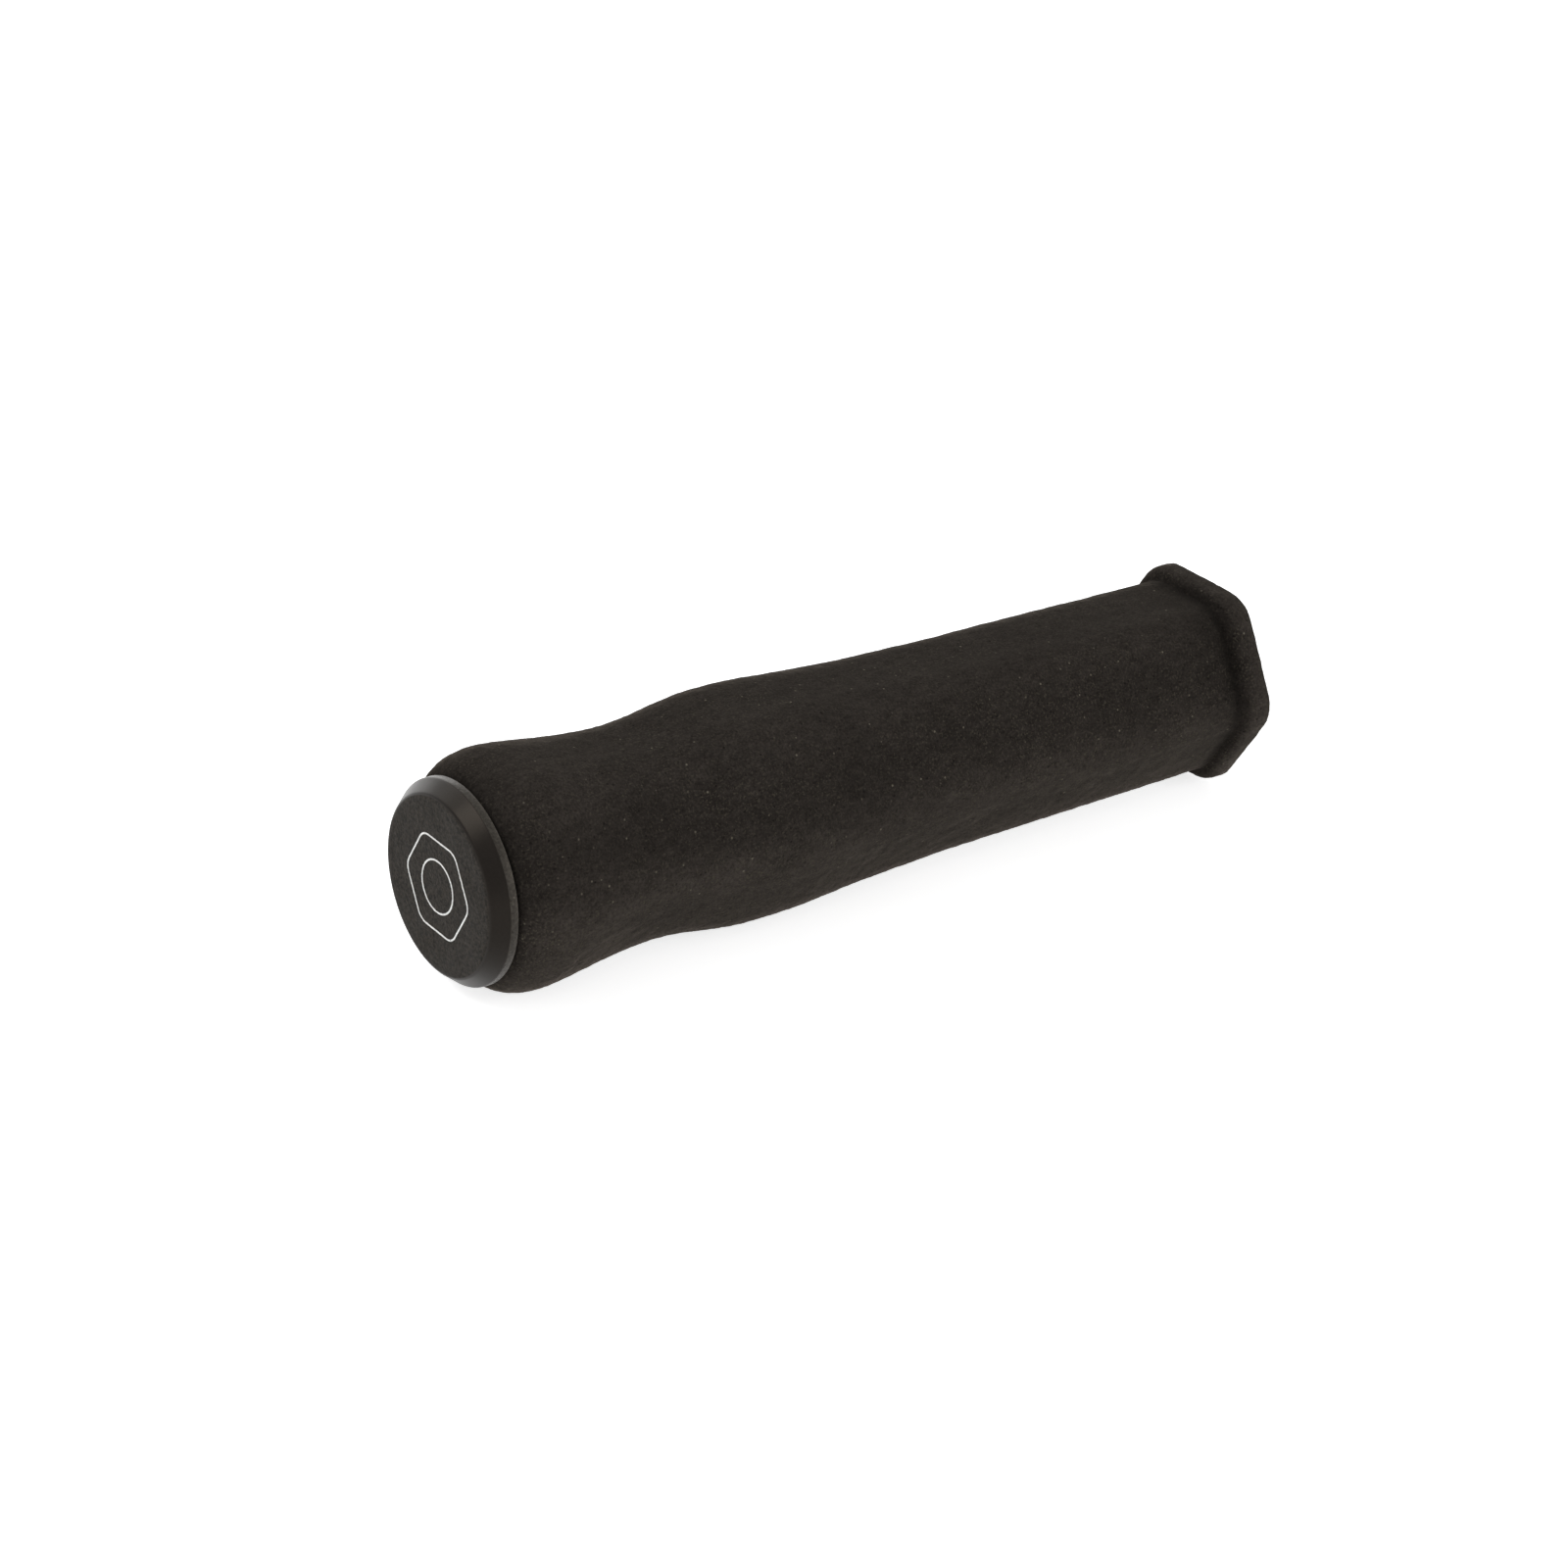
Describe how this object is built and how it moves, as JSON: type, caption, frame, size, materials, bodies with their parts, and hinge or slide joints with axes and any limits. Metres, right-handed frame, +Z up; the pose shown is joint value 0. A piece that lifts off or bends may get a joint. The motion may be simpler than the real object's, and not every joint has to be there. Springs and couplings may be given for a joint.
{
  "type": "handlebar grip",
  "caption": "Straight push-on foam handlebar grip with a soft six-sided palm profile, a hexagonal inner flange and a round plastic plug closing its outer end.",
  "frame": {"origin": "on the handlebar's axis, halfway along the grip", "axes": "+X along the handlebar from the outer end's plug to the inner end's flange, +Z up, with two of the six flats facing up and down"},
  "size_m": [0.13, 0.0322, 0.0312],
  "materials": {
    "foam": "matte closed-cell foam rubber with a fine open grain",
    "plug_plastic": "moulded plastic, grained on the face and smooth on the chamfer"
  },
  "bodies": {
    "root": {"foam_sleeve": "foam", "end_plug": "plug_plastic"}
  },
  "joints": []
}
